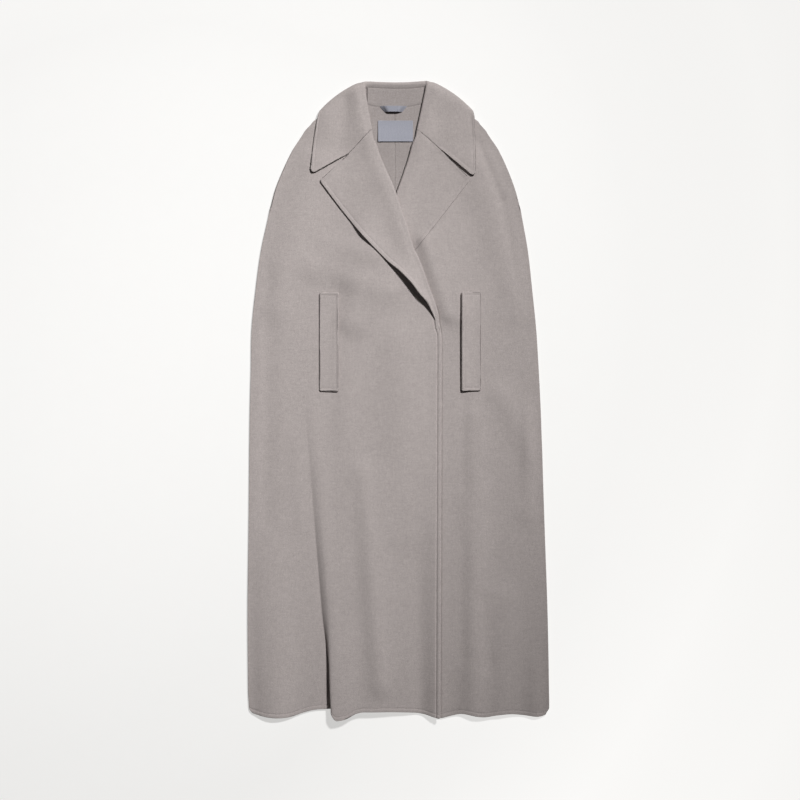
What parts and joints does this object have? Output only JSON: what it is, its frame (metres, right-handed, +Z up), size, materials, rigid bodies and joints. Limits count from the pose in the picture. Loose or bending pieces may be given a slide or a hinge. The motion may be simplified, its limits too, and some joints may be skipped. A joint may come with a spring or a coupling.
{
  "type": "wool cape coat",
  "caption": "Long sleeveless cape coat in thick double-faced wool, laid flat and closed, with notched lapels, welted arm slits and soft folds down to the hem.",
  "frame": {"origin": "on the surface that the coat lies on, under the middle of its outline", "axes": "+Y from the hem to the collar, +X to the viewer's right (the wearer's left), +Z up through the layers"},
  "size_m": [0.6034, 1.277, 0.0278],
  "materials": {
    "wool": "thick double-faced wool, grey-beige melange with a short soft nap",
    "ribbon": "blue-grey woven ribbon with a slight sheen",
    "woven_label": "bare blue-grey satin label"
  },
  "bodies": {
    "root": {"back_left": "wool", "back_right": "wool", "front_left": "wool", "front_right": "wool", "collar_stand": "wool", "collar_fall": "wool", "welt_right": "wool", "welt_left": "wool", "hanger_loop": "ribbon", "label": "woven_label"}
  },
  "joints": []
}
